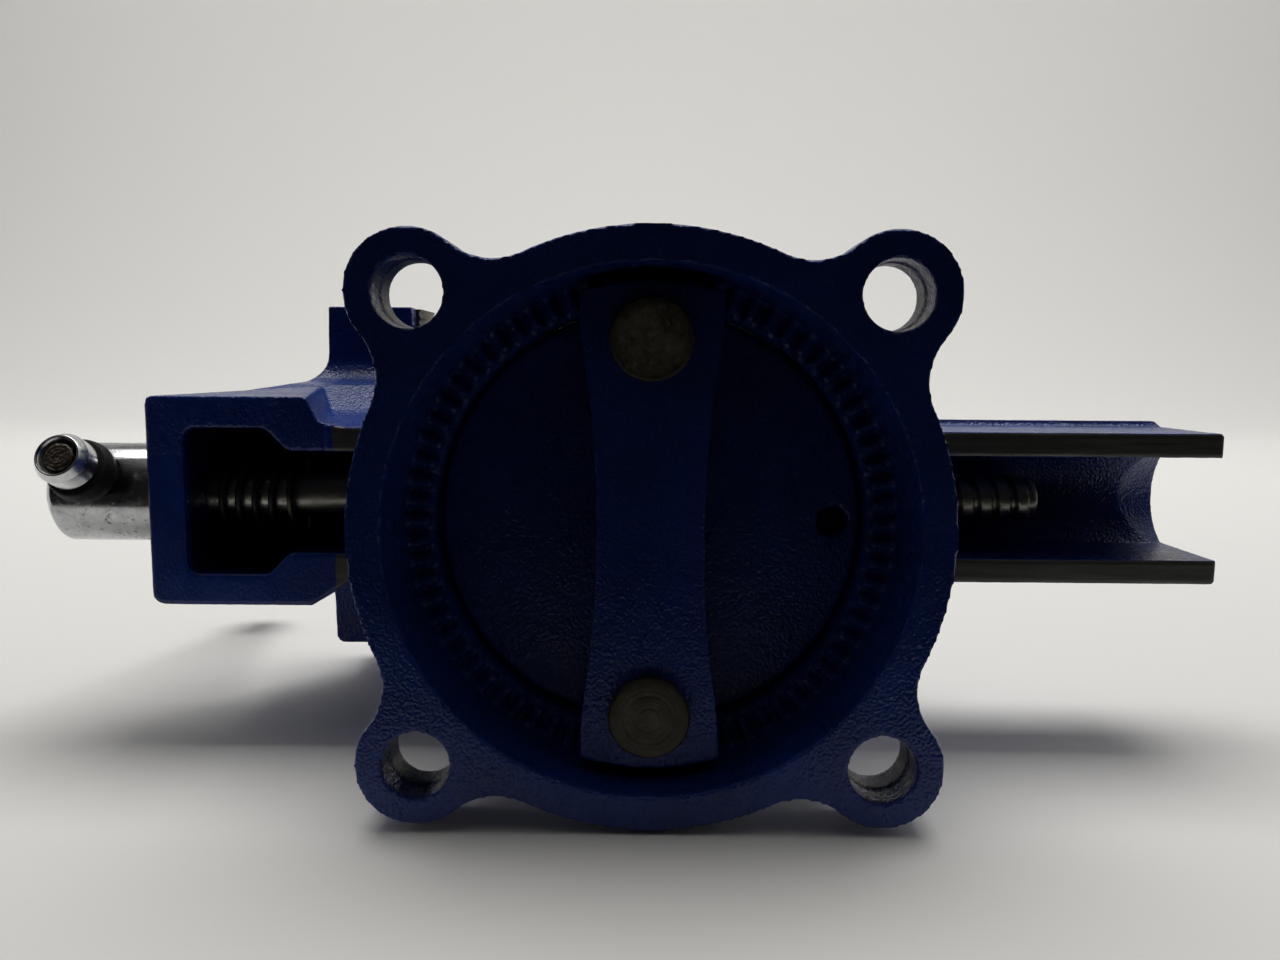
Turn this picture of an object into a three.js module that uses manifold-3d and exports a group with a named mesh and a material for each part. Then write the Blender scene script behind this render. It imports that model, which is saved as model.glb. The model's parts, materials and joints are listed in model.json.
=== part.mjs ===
// Cast-iron bench vise on a swivelling base, in millimetres with +Z up.
// The jaws open towards -Y, the slide beam runs back along +Y, and the base stands on Z = 0.
// Every piece is drawn about the swivel axis (X = 0, Y = 0). The whole vise is then moved along Y,
// so that the origin is the middle of the footprint of its bounding box.
import * as THREE from 'three';
import { mergeVertices } from 'three/addons/utils/BufferGeometryUtils.js';
import Module from 'manifold-3d';

const wasm = await Module();
wasm.setup();

// ---------------------------------------------------------------- driving dimensions
const GAP = 0.3; // clearance that touching pieces keep

const base = {
  lugPitch: 100, // square of four bench-bolt holes
  holeRadius: 7,
  holeMouth: 7.35, // the lower half of a hole is cored a little wider
  lugRadius: 13.2,
  lugHeight: 14.8,
  filletRadius: 14, // hollow between a lug and the ring
  ringRadius: 64,
  topRadius: 58.5,
  height: 30,
  cavityRadius: 56.5, // at the bench
  cavityTopRadius: 55.4, // where the toothed shelf starts
  shelfZ: 20,
  openingRadius: 48.9,
  teeth: 72,
  toothDepth: 2,
};
const disc = {
  radius: 48.4,
  bottomZ: 24,
  flangeRadius: 58,
  flangeTopZ: 41,
  blindRadius: 3.5, // a blind hole in the underside
  blindY: 42.2,
};
const clamp = {
  bottomZ: 8,
  topZ: 17.6,
  waist: 11.75, // half width in the middle
  end: 15.5, // half width at the ends
  endRadius: 53.3,
  boltX: 41,
};
const beam = {
  bottomZ: 48,
  half: 19.4,
  innerHalf: 13.2,
  ledgeZ: 79.6, // the top is a little wider than the sides
  ledgeHalf: 20.9,
  topZ: 86,
  wallTopZ: 74,
  crownZ: 79.5,
  rearY: 145,
  mouthDepth: 11, // the channel widens over this length at its rear
};
const block = {
  frontY: -129,
  half: 27, // at its underside
  frontHalf: 25.8, // above, at the front
  rearHalf: 29, // above, at the rear
  loftZ: 88,
  cornerY: -87.5, // rear corners of the underside
  rearY: -76,
  neckHalf: 30.5,
  wall: 9.5,
  topZ: 96,
  cavityTopZ: 81.5,
  cavityHalf: 18.9,
  narrowY: -93, // where the cavity has narrowed to the beam's channel
  stepX: 11, // beyond this the underside is stepped back
  step: 0.5,
};
const column = { half: 28, frontY: -52, rearY: 52, anvilZ: 106 };
const jaw = {
  half: 53,
  topZ: 135,
  ledgeZ: 112.7, // top of the step that carries the insert
  wingZ: 106, // underside of the wing tips
  frontY: -99.5, // front of the moving jaw's wings
  faceY: -72.5, // face of the moving jaw's insert
  opening: 6, // between the two inserts, as drawn
  proud: 1.2, // the inserts stand out this far from the castings
  insert: 6.2, // thickness of a steel insert
  grooves: 38,
  grooveDepth: 0.7,
};
const insertScrewSize = { x: 33, headRadius: 5.7, headDepth: 3.5, radius: 3.1, length: 15, socket: 2.6 };
const screw = {
  z: 68,
  headRadius: 13.4,
  frontY: -161,
  shankRadius: 6.5,
  threadRadius: 6.5,
  threadY: -90.5, // where the thread starts
  rearY: 104.5,
};
const spring = { wire: 0.9, radius: 8, turns: 4.5, rearY: -97.3 };
const collar = { frontY: -97, rearY: -95.7, radius: 9.8 }; // the washer behind the spring
const pin = { y: -93.8, radius: 1.6, half: 9.8 };
const nut = { half: 11.2, length: 44, boltRadius: 4, boltHead: 6.6, boltTopZ: 57 };
const handle = {
  y: -148,
  tilt: THREE.MathUtils.degToRad(25), // away from straight down, towards +X
  radius: 4.75,
  knobRadius: 6.7,
  knobLength: 8.6,
  lowEnd: 29, // lower knob's face, from the screw's axis
  length: 150,
  ringRadius: 8.4,
  ringThickness: 6.4,
  countersink: 9, // round the mouths of the hole across the screw's head
};
const lever = {
  boltRadius: 5,
  nutRadius: 10.5,
  nutHeight: 15,
  rodRadius: 3.6,
  length: 46,
  ballRadius: 5.8,
  turn: -75, // of the right-hand lever from +X, in degrees
};
const bolt = { headRadius: 9, headHeight: 3, washerRadius: 10.5, washerThickness: 2 };

// ---------------------------------------------------------------- materials
const paint = new THREE.MeshStandardMaterial({ color: 0x14246e, roughness: 0.38, metalness: 0 });
const bareIron = new THREE.MeshStandardMaterial({ color: 0x4b4a44, roughness: 0.5, metalness: 0.9 });
const steel = new THREE.MeshStandardMaterial({ color: 0x9a9c9e, roughness: 0.35, metalness: 1 });
const plated = new THREE.MeshStandardMaterial({ color: 0xb9bcc0, roughness: 0.2, metalness: 1 });
const blackSteel = new THREE.MeshStandardMaterial({ color: 0x3d3b33, roughness: 0.45, metalness: 0.9 });
const rubber = new THREE.MeshStandardMaterial({ color: 0x0c0c0d, roughness: 0.7, metalness: 0 });

// ---------------------------------------------------------------- solids from geometries
/** Signed volume of an indexed closed geometry: negative where its faces point inwards. */
function signedVolume(positions, index) {
  const corner = [new THREE.Vector3(), new THREE.Vector3(), new THREE.Vector3()];
  let volume = 0;
  for (let i = 0; i < index.length; i += 3) {
    corner.forEach((point, k) => point.fromArray(positions, 3 * index[i + k]));
    volume += corner[0].dot(corner[1].cross(corner[2])) / 6;
  }
  return volume;
}

/** Turns a closed three.js geometry into a solid whose faces point outwards. */
function solid(geometry) {
  geometry.deleteAttribute('normal');
  geometry.deleteAttribute('uv');
  const merged = mergeVertices(geometry, 1e-4);
  const positions = merged.attributes.position.array;
  const triangles = [];
  for (let i = 0; i < merged.index.count; i += 3) {
    const [a, b, c] = [0, 1, 2].map((k) => merged.index.array[i + k]);
    if (a !== b && b !== c && c !== a) {
      triangles.push(a, b, c);
    }
  }
  if (signedVolume(positions, triangles) < 0) {
    triangles.reverse();
  }
  const vertProperties = new Float32Array(positions);
  const triVerts = new Uint32Array(triangles);
  return new wasm.Manifold(new wasm.Mesh({ numProp: 3, vertProperties, triVerts }));
}

/** Joins several solids into one. */
function join(...solids) {
  return solids.reduce((whole, next) => whole.add(next));
}

/** Cuts several solids out of a first one. */
function cut(whole, ...tools) {
  return tools.reduce((rest, tool) => rest.subtract(tool), whole);
}

/** The BufferGeometry of a solid. */
function geometryOf(body) {
  const mesh = body.getMesh();
  const geometry = new THREE.BufferGeometry();
  geometry.setAttribute('position', new THREE.BufferAttribute(new Float32Array(mesh.vertProperties), 3));
  geometry.setIndex(new THREE.BufferAttribute(new Uint32Array(mesh.triVerts), 1));
  geometry.computeVertexNormals();
  return geometry;
}

// ---------------------------------------------------------------- basic shapes
/** A closed outline from corners [u, v] or [u, v, radius]: a radius rounds that corner. */
function outline(corners) {
  const shape = new THREE.Shape();
  const count = corners.length;
  const at = (i) => new THREE.Vector2(corners[(i + count) % count][0], corners[(i + count) % count][1]);
  corners.forEach(([u, v, radius = 0], i) => {
    const here = new THREE.Vector2(u, v);
    const back = at(i - 1).sub(here).normalize();
    const ahead = at(i + 1).sub(here).normalize();
    const halfAngle = Math.acos(THREE.MathUtils.clamp(back.dot(ahead), -1, 1)) / 2;
    const trim = radius / Math.tan(halfAngle);
    const start = here.clone().addScaledVector(back, trim);
    const end = here.clone().addScaledVector(ahead, trim);
    if (i === 0) {
      shape.moveTo(start.x, start.y);
    } else {
      shape.lineTo(start.x, start.y);
    }
    if (radius > 0) {
      const middle = back.clone().add(ahead).normalize();
      const centre = here.clone().addScaledVector(middle, radius / Math.sin(halfAngle));
      const turn = back.x * ahead.y - back.y * ahead.x;
      const from = Math.atan2(start.y - centre.y, start.x - centre.x);
      const to = Math.atan2(end.y - centre.y, end.x - centre.x);
      shape.absarc(centre.x, centre.y, radius, from, to, turn > 0);
    }
  });
  return shape;
}

/** The same corners with their mirror images across the second axis, to close the outline. */
function mirrored(corners) {
  const others = corners.map(([u, v, radius = 0]) => [-u, v, radius]).reverse();
  return [...corners, ...others];
}

/** An outline in (x, y) between two heights. */
function prismZ(shape, z0, z1, curveSegments = 4) {
  const geometry = new THREE.ExtrudeGeometry(shape, { depth: z1 - z0, bevelEnabled: false, curveSegments });
  return solid(geometry.translate(0, 0, z0));
}

/** A solid between two outlines with matching corners: one at z0, the other at z1. */
function loft(lower, upper, z0, z1, curveSegments = 4) {
  const rings = [lower, upper].map((shape) => {
    const points = shape.getPoints(curveSegments);
    return points.filter((point, i) => point.distanceTo(points[(i + 1) % points.length]) > 1e-6);
  });
  const count = rings[0].length;
  const positions = rings.flatMap((ring, k) => ring.flatMap(({ x, y }) => [x, y, k === 0 ? z0 : z1]));
  const index = [];
  for (let i = 0; i < count; i++) {
    const next = (i + 1) % count;
    index.push(i, next, count + next, i, count + next, count + i);
  }
  THREE.ShapeUtils.triangulateShape(rings[0], []).forEach(([a, b, c]) => index.push(c, b, a));
  THREE.ShapeUtils.triangulateShape(rings[1], []).forEach(([a, b, c]) => {
    index.push(count + a, count + b, count + c);
  });
  const geometry = new THREE.BufferGeometry();
  geometry.setAttribute('position', new THREE.Float32BufferAttribute(positions, 3));
  geometry.setIndex(index);
  return solid(geometry);
}

/** An outline in (x, z) between two values of y. */
function prismY(shape, y0, y1, curveSegments = 4) {
  const geometry = new THREE.ExtrudeGeometry(shape, { depth: y1 - y0, bevelEnabled: false, curveSegments });
  return solid(geometry.rotateX(Math.PI / 2).translate(0, y1, 0));
}

/** An outline in (y, z), centred on x = 0. */
function prismX(shape, half, curveSegments = 4) {
  const depth = 2 * half;
  const geometry = new THREE.ExtrudeGeometry(shape, { depth, bevelEnabled: false, curveSegments });
  return solid(geometry.rotateX(Math.PI / 2).rotateZ(Math.PI / 2).translate(-half, 0, 0));
}

/** A box between two corners. */
function box([x0, y0, z0], [x1, y1, z1]) {
  const geometry = new THREE.BoxGeometry(x1 - x0, y1 - y0, z1 - z0);
  return solid(geometry.translate((x0 + x1) / 2, (y0 + y1) / 2, (z0 + z1) / 2));
}

/** A turned piece about the Z axis from its half section [radius, z]. */
function turned(section, segments = 24) {
  const points = section.map(([radius, z]) => new THREE.Vector2(radius, z));
  return solid(new THREE.LatheGeometry(points, segments).rotateX(Math.PI / 2));
}

/** A round bar about the Z axis. */
function bar(radius, z0, z1, segments = 24) {
  return turned([[0, z0], [radius, z0], [radius, z1], [0, z1]], segments);
}

/** Lays a solid made about Z along +Y, at a height. */
function alongY(body, z) {
  return body.rotate([-90, 0, 0]).translate([0, 0, z]);
}

// ---------------------------------------------------------------- the scene graph
const vise = new THREE.Group();

/** Adds a named piece to a group. */
function piece(parent, name, material, body) {
  const mesh = new THREE.Mesh(geometryOf(body), material);
  mesh.name = name;
  parent.add(mesh);
  return mesh;
}

// ---------------------------------------------------------------- swivel base
/** Plan of the base flange: a ring with a round lug at each corner, joined by hollow fillets. */
function basePlan() {
  const { ringRadius, lugRadius, filletRadius, lugPitch } = base;
  const lugAt = (lugPitch / 2) * Math.SQRT2;
  const reach = ringRadius + filletRadius;
  const near = lugRadius + filletRadius;
  // Angle at the swivel axis between a lug's centre and the centre of the fillet beside it.
  const spread = Math.acos((lugAt ** 2 + reach ** 2 - near ** 2) / (2 * lugAt * reach));
  const shape = new THREE.Shape();
  for (let i = 0; i < 4; i++) {
    const direction = Math.PI / 4 + (i * Math.PI) / 2;
    const lug = new THREE.Vector2(Math.cos(direction), Math.sin(direction)).multiplyScalar(lugAt);
    const fillets = [-spread, spread].map((turn) => new THREE.Vector2(
      reach * Math.cos(direction + turn),
      reach * Math.sin(direction + turn),
    ));
    const angleOf = (from, to) => Math.atan2(to.y - from.y, to.x - from.x);
    const centre = new THREE.Vector2();
    shape.absarc(0, 0, ringRadius, direction - Math.PI / 2 + spread, direction - spread, false);
    shape.absarc(fillets[0].x, fillets[0].y, filletRadius,
      angleOf(fillets[0], centre), angleOf(fillets[0], lug), true);
    shape.absarc(lug.x, lug.y, lugRadius, angleOf(lug, fillets[0]), angleOf(lug, fillets[1]), false);
    shape.absarc(fillets[1].x, fillets[1].y, filletRadius,
      angleOf(fillets[1], lug), angleOf(fillets[1], centre), true);
  }
  return shape;
}

/** One radial tooth under the shelf, on the +X side. */
function shelfTooth() {
  const width = (2 * Math.PI * base.cavityTopRadius) / base.teeth;
  const [root, tip] = [width * 0.3, width * 0.2];
  const [z0, z1] = [base.shelfZ - base.toothDepth, base.shelfZ + 0.5];
  const profile = outline([[-root, z1], [root, z1], [tip, z0], [-tip, z0]]);
  const inner = base.openingRadius + 1.2;
  return prismY(profile, inner, base.cavityTopRadius + 1).rotate([0, 0, -90]);
}

function swivelBase() {
  const { ringRadius, topRadius, height, lugHeight, cavityRadius, cavityTopRadius } = base;
  const { shelfZ, openingRadius, holeRadius, holeMouth } = base;
  const ring = turned([
    [cavityRadius, 0], [ringRadius, 0], [ringRadius, lugHeight], [ringRadius - 2, height - 5],
    [topRadius + 1.2, height - 1], [topRadius, height], [openingRadius + 0.8, height],
    [openingRadius, height - 0.8], [openingRadius, shelfZ + 0.8], [openingRadius + 0.8, shelfZ],
    [cavityTopRadius, shelfZ], [cavityRadius, 0],
  ], 72);
  const flange = cut(
    prismZ(basePlan(), 0, lugHeight, 12),
    bar(ringRadius - 3, -1, lugHeight + 1, 72),
  );
  const tooth = shelfTooth();
  const teeth = Array.from({ length: base.teeth }, (_, i) => tooth.rotate([0, 0, (i * 360) / base.teeth]));
  const half = base.lugPitch / 2;
  const corners = [[half, half], [-half, half], [-half, -half], [half, -half]];
  const hole = join(bar(holeRadius, -1, height + 1, 36), bar(holeMouth, -1, lugHeight / 2, 36));
  const holes = corners.map(([x, y]) => hole.translate([x, y, 0]));
  return cut(join(ring, flange, ...teeth), ...holes);
}

// ---------------------------------------------------------------- slide beam section
/** Outside of the slide beam in (x, z), grown by a clearance. */
function beamSection(grow = 0) {
  const { bottomZ, half, ledgeZ, ledgeHalf, topZ } = beam;
  return outline(mirrored([
    [half + grow, bottomZ - grow],
    [half + grow, ledgeZ - grow],
    [ledgeHalf + grow, ledgeZ - grow],
    [ledgeHalf + grow, topZ + grow, 4],
  ]));
}

/** The hollow of the slide beam in (x, z), open below, with a crowned ceiling. */
function channelSection() {
  const { bottomZ, innerHalf, wallTopZ, crownZ } = beam;
  const shape = new THREE.Shape();
  const rise = crownZ - wallTopZ;
  const radius = (innerHalf ** 2 + rise ** 2) / (2 * rise);
  const spread = Math.asin(innerHalf / radius);
  shape.moveTo(-innerHalf, bottomZ - 1);
  shape.lineTo(innerHalf, bottomZ - 1);
  shape.absarc(0, crownZ - radius, radius, Math.PI / 2 - spread, Math.PI / 2 + spread, false);
  return shape;
}

// ---------------------------------------------------------------- jaws
/** The screws' places along the jaw inserts. */
const insertScrewX = [-insertScrewSize.x, insertScrewSize.x];
const insertScrewZ = (jaw.ledgeZ + jaw.topZ) / 2;

/** Face of a jaw's insert: side is -1 for the moving jaw, 1 for the fixed one. */
function faceOf(side) {
  return side < 0 ? jaw.faceY : jaw.faceY + jaw.opening;
}

/** Cuts for an insert's screws, from a distance behind its face. */
function screwHoles(radius, fromFace, length, side) {
  return insertScrewX.map((x) => {
    const [a, b] = [fromFace, fromFace + length].map((distance) => faceOf(side) + side * distance);
    const hole = bar(radius, Math.min(a, b), Math.max(a, b));
    return alongY(hole, insertScrewZ).translate([x, 0, 0]);
  });
}

/** A steel insert with upright grooves in its face. */
function jawInsert(side) {
  const half = jaw.half - GAP;
  const pitch = (2 * half) / jaw.grooves;
  const face = faceOf(side);
  const back = face + side * jaw.insert;
  const corners = [[-half, back], [half, back]];
  for (let i = 0; i <= jaw.grooves; i++) {
    corners.push([half - i * pitch, face]);
    if (i < jaw.grooves) {
      corners.push([half - (i + 0.5) * pitch, face + side * jaw.grooveDepth]);
    }
  }
  const plate = prismZ(outline(corners), jaw.ledgeZ + GAP, jaw.topZ - GAP);
  const { radius, headRadius, headDepth, length } = insertScrewSize;
  return cut(
    plate,
    ...screwHoles(radius + GAP, -1, length + 5, side),
    ...screwHoles(headRadius + GAP, -1, headDepth + 2 + GAP, side),
  );
}

/** A socket-head screw that holds an insert: side is -1 for the moving jaw. */
function insertScrew(side, x) {
  const { headRadius, headDepth, radius, length, socket: socketRadius } = insertScrewSize;
  const faceY = 1; // the head sits this far below the insert's face
  const underHead = faceY + headDepth;
  const shaft = turned([
    [0, faceY], [headRadius - 0.4, faceY], [headRadius, faceY + 0.4], [headRadius, underHead],
    [radius, underHead], [radius, faceY + length], [0, faceY + length],
  ], 18);
  const socket = bar(socketRadius, 0, faceY + 2.2, 6);
  const body = alongY(cut(shaft, socket), insertScrewZ);
  return (side > 0 ? body : body.rotate([0, 0, 180])).translate([x, faceOf(side), 0]);
}

/** Underside and ends of a jaw's wings in (x, z), over the given corners of its neck. */
function wingSection(neckHalf, neck) {
  return outline(mirrored([
    ...neck,
    [neckHalf, jaw.wingZ - 1.5, 8],
    [jaw.half, jaw.wingZ],
    [jaw.half, jaw.topZ, 1.5],
  ]));
}

// ---------------------------------------------------------------- vise body
function viseBody() {
  const { radius, bottomZ, flangeRadius, flangeTopZ } = disc;
  const restZ = base.height + GAP;
  const turntable = turned([
    [0, bottomZ], [radius - 0.6, bottomZ], [radius, bottomZ + 0.6], [radius, restZ],
    [flangeRadius, restZ], [flangeRadius, flangeTopZ - 3.5], [flangeRadius - 1, flangeTopZ - 1],
    [flangeRadius - 3.5, flangeTopZ], [0, flangeTopZ],
  ], 64);
  const { half, frontY, rearY, anvilZ } = column;
  const columnSide = outline([
    [-40, flangeTopZ - 2], [frontY, flangeTopZ + 12, 10], [frontY - 4, anvilZ],
    [rearY, anvilZ, 2], [rearY, 84, 12], [48, flangeTopZ - 2],
  ]);
  const columnFront = outline(mirrored([
    [half + 6, flangeTopZ - 2], [half, flangeTopZ + 8, 6], [half, 90, 8], [half - 5, anvilZ - 4, 2],
    [half - 7, anvilZ],
  ]));
  const front = faceOf(1) + jaw.proud;
  const seat = faceOf(1) + jaw.insert + GAP;
  const headSide = outline([
    [front + 10, 86], [front, 100, 8], [front, jaw.ledgeZ], [seat, jaw.ledgeZ], [seat, jaw.topZ, 0.8],
    [seat + 25, jaw.topZ, 5], [seat + 31, 112, 14], [seat + 47, 104], [seat + 47, 86],
  ]);
  const wings = prismY(wingSection(block.neckHalf - 2, [[column.half - 4, 86]]), front - 10, seat + 50);
  const head = prismX(headSide, jaw.half).intersect(wings);
  const stem = prismX(columnSide, 40).intersect(prismY(columnFront, -80, 60));
  return cut(
    join(turntable, stem, head),
    prismY(beamSection(0.35), -100, 70),
    ...[clamp.boltX, -clamp.boltX].flatMap((x) => [
      bar(lever.boltRadius + 0.5, 0, 60).translate([x, 0, 0]),
      bar(lever.nutRadius + 1, flangeTopZ, 62).translate([x, 0, 0]),
    ]),
    bar(nut.boltHead + 0.8, 0, bottomZ + 7 + GAP),
    bar(nut.boltRadius + GAP, bottomZ + 7, beam.bottomZ + 2),
    bar(disc.blindRadius, 0, bottomZ + 7, 16).translate([0, disc.blindY, 0]),
    ...screwHoles(insertScrewSize.radius + GAP, 0, insertScrewSize.length + 2, 1),
  );
}

// ---------------------------------------------------------------- moving jaw
function movingJaw() {
  const { frontY, half, frontHalf, rearHalf, loftZ, rearY, neckHalf, topZ } = block;
  const { cornerY, wall, cavityTopZ, cavityHalf, narrowY, stepX, step } = block;
  const rear = jaw.faceY - jaw.proud;
  const seat = jaw.faceY - jaw.insert - GAP;
  const side = outline([
    [frontY, beam.bottomZ, 0.8], [frontY, topZ - 6, 7], [jaw.frontY - 3, 122, 16], [jaw.frontY, 130],
    [jaw.frontY + 3, jaw.topZ, 2.5], [seat, jaw.topZ, 0.8], [seat, jaw.ledgeZ], [rear, jaw.ledgeZ],
    [rear, 94, 2], [rearY, 84], [rearY, beam.bottomZ],
  ]);
  // On the +X side the block is hollowed behind its rear corner, on the other it is cut off aslant.
  const underside = outline([
    [half, frontY, 1.8], [half, cornerY, 1.5], [beam.half + 1.2, cornerY + 3, 3],
    [beam.half, cornerY + 9.5, 1], [beam.half, rearY], [-beam.half, rearY],
    [-half, cornerY, 1.5], [-half, frontY, 3.4],
  ]);
  const shoulders = outline([
    [frontHalf, frontY, 1.8], [rearHalf, cornerY - 8.5, 1.5], [beam.half + 2.6, cornerY - 4.5, 3],
    [beam.half + 0.6, cornerY + 3.5, 1], [beam.half, rearY], [-beam.half, rearY],
    [-rearHalf, cornerY - 0.5, 1.5], [-frontHalf, frontY, 3.4],
  ]);
  const wingPlan = outline([
    [frontHalf, frontY, 4], [neckHalf, jaw.frontY, 9], [jaw.half, jaw.frontY, 0.6], [jaw.half, rear + 2],
    [-jaw.half, rear + 2], [-jaw.half, jaw.frontY, 2.5], [-neckHalf, jaw.frontY, 9],
    [-frontHalf, frontY, 4],
  ]);
  const neck = [[beam.half, 56], [beam.half + 2.1, 74, 16], [neckHalf - 1, loftZ, 1.5]];
  const wingSide = prismY(wingSection(neckHalf, neck), frontY - 10, rear + 10);
  const wings = prismZ(wingPlan, 56, jaw.topZ).intersect(wingSide);
  const casting = prismX(side, jaw.half).intersect(join(
    loft(underside, shoulders, beam.bottomZ, loftZ),
    wings,
  ));
  const slide = prismY(beamSection(), rearY - 6, beam.rearY - 4);
  const slideEnd = prismY(beamSection(), rearY - 6, beam.rearY).intersect(prismZ(outline(mirrored([
    [beam.ledgeHalf, rearY], [beam.ledgeHalf, beam.rearY - 1.8], [beam.ledgeHalf - 2.2, beam.rearY],
  ])), beam.bottomZ, beam.topZ));
  const cavity = outline(mirrored([
    [beam.innerHalf, narrowY + 5], [beam.innerHalf, narrowY, 3], [cavityHalf, narrowY - 5.5, 3],
    [cavityHalf, frontY + wall, 3],
  ]));
  const [mouthY, pastY] = [beam.rearY - beam.mouthDepth, beam.rearY + 2];
  const bellMouth = turned([[0, mouthY], [12.6, mouthY], [16.6, pastY], [0, pastY]], 40);
  const mouthClip = box([-beam.innerHalf, mouthY - 1, 66], [beam.innerHalf, pastY + 1, 84]);
  const setBack = outline([
    [stepX - 0.6, beam.bottomZ - 1], [stepX - 0.6, beam.bottomZ], [stepX + 0.9, beam.bottomZ + step],
    [half + 3, beam.bottomZ + step], [half + 3, beam.bottomZ - 1],
  ]);
  return cut(
    join(casting, slide, slideEnd),
    prismY(channelSection(), narrowY + 1, beam.rearY + 1),
    prismZ(cavity, beam.bottomZ - 1, cavityTopZ),
    alongY(bellMouth, screw.z - 1).intersect(mouthClip),
    alongY(bar(screw.shankRadius + 0.4, frontY - 1, frontY + wall + 1), screw.z),
    prismY(setBack, frontY - 1, cornerY + 5),
    ...screwHoles(insertScrewSize.radius + GAP, 0, insertScrewSize.length + 2, -1),
  );
}

// ---------------------------------------------------------------- screw, its spring and its nut
function spindle() {
  const { headRadius, frontY, shankRadius, threadRadius, threadY, rearY } = screw;
  const end = [[0, 0], [9.6, 0.2], [11.6, 0.8], [12.8, 1.8], [headRadius, 3.4]];
  const collarY = block.frontY - GAP;
  const shape = turned([
    ...end.map(([radius, back]) => [radius, frontY + back]),
    [headRadius, collarY - 0.6], [headRadius - 0.6, collarY], [shankRadius, collarY],
    [shankRadius, threadY - 0.5], [threadRadius, threadY], [threadRadius, rearY - 1],
    [threadRadius - 1, rearY], [0, rearY],
  ], 36);
  const holeRadius = handle.radius + 0.35;
  const depth = headRadius - 1.2; // where the countersinks reach the hole
  const crossHole = inHead(turned([
    [0, -20], [handle.countersink + 3, -headRadius - 1], [holeRadius, -depth],
    [holeRadius, depth], [handle.countersink + 3, headRadius + 1], [0, 20],
  ]));
  return cut(alongY(shape, screw.z), crossHole, pinBar(pin.radius + GAP, 20));
}

/** A bar along X where the screw's pin is. */
function pinBar(radius, half) {
  return bar(radius, -half, half, 14).rotate([0, 90, 0]).translate([0, pin.y, screw.z]);
}

/** Centre line of the coil spring round the screw's shank, along +Y. */
class CoilPath extends THREE.Curve {
  constructor(radius, y0, y1, turns) {
    super();
    Object.assign(this, { radius, y0, y1, turns });
  }

  getPoint(t, target = new THREE.Vector3()) {
    const angle = 2 * Math.PI * this.turns * t;
    const y = THREE.MathUtils.lerp(this.y0, this.y1, t);
    return target.set(this.radius * Math.cos(angle), y, screw.z + this.radius * Math.sin(angle));
  }
}

function coilSpring() {
  const { wire, radius, turns, rearY } = spring;
  const path = new CoilPath(radius, block.frontY + block.wall + GAP + wire, rearY - wire, turns);
  const section = new THREE.Shape().absarc(0, 0, wire, 0, 2 * Math.PI, false);
  return solid(new THREE.ExtrudeGeometry(section, {
    extrudePath: path, steps: turns * 14, curveSegments: 3, bevelEnabled: false,
  }));
}

/** The washer that the spring pushes against. */
function collarWasher() {
  const inner = screw.shankRadius + 0.35;
  const { frontY, rearY, radius } = collar;
  const section = [[inner, frontY], [radius, frontY], [radius, rearY], [inner, rearY], [inner, frontY]];
  return alongY(turned(section), screw.z);
}

function spindleNut() {
  const { half, length, boltRadius } = nut;
  const shape = new THREE.Shape();
  shape.moveTo(-half, beam.bottomZ + GAP);
  shape.lineTo(half, beam.bottomZ + GAP);
  shape.absarc(0, screw.z, half, 0, Math.PI, false);
  return cut(
    prismY(shape, -length / 2, length / 2, 8),
    alongY(bar(screw.threadRadius + 0.35, -length, length), screw.z),
    bar(boltRadius + GAP, 40, nut.boltTopZ + 0.5),
  );
}

// ---------------------------------------------------------------- handle
const tiltDegrees = -THREE.MathUtils.radToDeg(handle.tilt);

/** Places a piece drawn about Z, with +Z along the handle's upper end, in the screw's head. */
function inHead(body) {
  return body.rotate([0, tiltDegrees, 0]).translate([0, handle.y, screw.z]);
}

const handleLow = -handle.lowEnd;
const handleHigh = handle.length - handle.lowEnd;
const spigot = handle.radius - 1; // the bar's ends are turned down and riveted over in the knobs

function handleBar() {
  const shoulderLow = handleLow + handle.knobLength;
  const shoulderHigh = handleHigh - handle.knobLength;
  return inHead(turned([
    [0, handleLow + 0.3], [spigot - 0.2, handleLow + 0.4], [spigot, handleLow + 0.8],
    [spigot, shoulderLow + GAP], [handle.radius, shoulderLow + GAP],
    [handle.radius, shoulderHigh - GAP], [spigot, shoulderHigh - GAP],
    [spigot, handleHigh - 0.8], [spigot - 0.2, handleHigh - 0.4], [0, handleHigh - 0.3],
  ]));
}

/** A knob with its outer face at one end of the handle: side is -1 for the lower one. */
function handleKnob(side) {
  const { knobRadius, knobLength } = handle;
  const bore = spigot + GAP;
  const rim = knobRadius - 1.3;
  const face = side > 0 ? handleHigh : handleLow;
  return inHead(turned([
    [bore, 1.8], [rim - 0.4, 0.5], [rim - 0.4, 0], [rim, 0], [knobRadius, 2.2],
    [knobRadius, knobLength - 1.2], [knobRadius - 1, knobLength], [bore, knobLength], [bore, 1.8],
  ].map(([radius, depth]) => [radius, face - side * depth])));
}

/** A rubber ring between a knob and the screw's head. */
function handleRing(side) {
  const { ringRadius: outer, ringThickness: thickness } = handle;
  const shoulder = (side > 0 ? handleHigh : handleLow) - side * (handle.knobLength + GAP);
  const inner = handle.radius + GAP;
  return inHead(turned([
    [inner, 0], [outer - 0.9, 0], [outer, 0.9], [outer, thickness - 0.9], [outer - 0.9, thickness],
    [inner, thickness], [inner, 0],
  ].map(([radius, depth]) => [radius, shoulder - side * depth])));
}

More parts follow.
